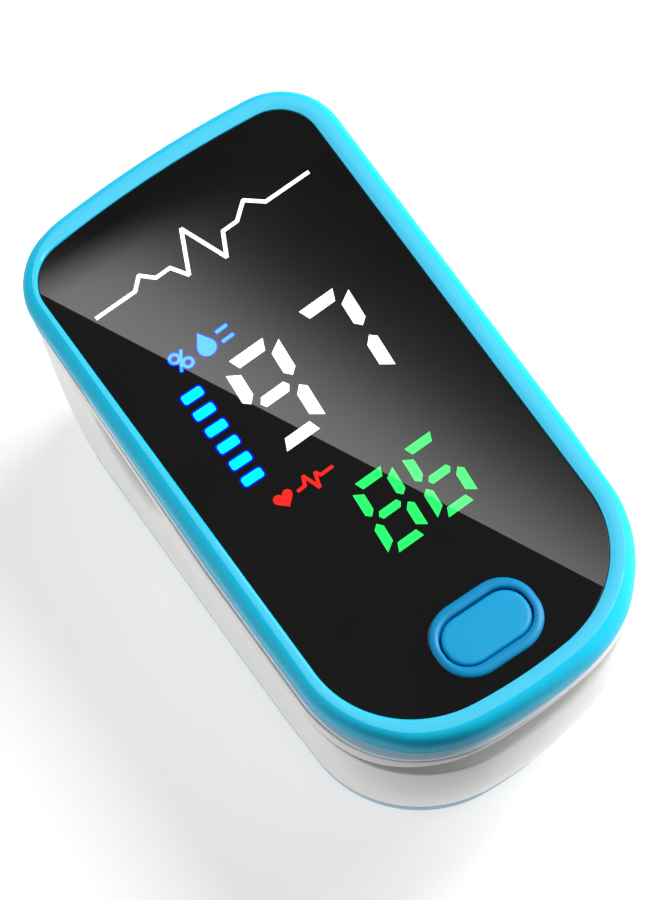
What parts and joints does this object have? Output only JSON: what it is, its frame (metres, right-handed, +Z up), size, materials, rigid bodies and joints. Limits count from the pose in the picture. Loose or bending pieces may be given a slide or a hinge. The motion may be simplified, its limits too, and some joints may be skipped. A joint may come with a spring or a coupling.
{
  "type": "fingertip pulse oximeter",
  "caption": "Clip-on pulse oximeter: sprung hinged halves with a padded finger channel, glossy display window in a coloured rim, oval power button and slide-off battery cover.",
  "frame": {"origin": "centre of the footprint of the whole device at the height of its flat base", "axes": "+Y towards the finger mouth, +Z up out of the display, +X to the right when the display is read from the hinge end"},
  "size_m": [0.0308, 0.0588, 0.0283],
  "materials": {
    "cyan_plastic": "gloss moulded",
    "window_acrylic": "polished",
    "white_ink": "printed",
    "blue_light": "lit",
    "white_light": "lit",
    "green_light": "lit",
    "cyan_light": "lit",
    "red_light": "lit",
    "tinted_plastic": "translucent",
    "white_plastic": "satin moulded",
    "frame_plastic": "moulded",
    "silicone": "soft matte",
    "red_lens": "clear tinted",
    "black_epoxy": "moulded",
    "circuit_board": "solder mask",
    "tin": "stamped",
    "surround_plastic": "satin",
    "button_plastic": "satin",
    "screw_steel": "plain",
    "led_resin": "clear",
    "polyimide": "film",
    "cell_jacket": "printed sleeve",
    "spring_steel": "drawn wire",
    "plated_contact": "plated",
    "pin_steel": "ground"
  },
  "bodies": {
    "lower": {"lower_shell": "white_plastic", "lower_tray": "frame_plastic", "lower_finger_pad": "silicone", "led_emitter": "led_resin", "emitter_board": "circuit_board", "flex_cable": "polyimide", "battery_left": "cell_jacket", "battery_right": "cell_jacket", "battery_springs": "spring_steel", "contact_plates": "plated_contact", "hinge_pins": "pin_steel", "torsion_springs": "spring_steel", "lower_screws": "screw_steel"},
    "upper": {"rim_bezel": "cyan_plastic", "display_window": "window_acrylic", "top_trace": "white_ink", "label_mark": "blue_light", "oxygen_digits": "white_light", "pulse_digits": "green_light", "bar_graph": "cyan_light", "heart_mark": "red_light", "trim_flange": "tinted_plastic", "upper_shell": "white_plastic", "upper_inner_frame": "frame_plastic", "upper_finger_pad": "silicone", "sensor_lens": "red_lens", "photodiode": "black_epoxy", "main_board": "circuit_board", "display_module": "black_epoxy", "board_chips": "black_epoxy", "tact_switch": "tin", "button_surround": "surround_plastic", "upper_screws": "screw_steel"},
    "button": {"power_button": "button_plastic"},
    "door": {"battery_door": "tinted_plastic"}
  },
  "joints": [
    {"name": "clamp_hinge", "type": "hinge", "parent": "lower", "child": "upper", "pos_m": [0, -0.019, 0.019], "axis": [1, 0, 0], "range_deg": [0, 7.5], "stiffness_Nm_per_rad": 0.3, "springref_deg": -7.45, "deforming": ["torsion_springs"]},
    {"name": "button_press", "type": "slide", "parent": "upper", "child": "button", "axis": [0, 0, -1], "range_m": [0, 0.0004], "stiffness_N_per_m": 1500, "springref_m": -0.0004},
    {"name": "door_slide", "type": "slide", "parent": "lower", "child": "door", "axis": [0, -1, 0], "range_m": [0, 0.047]}
  ]
}
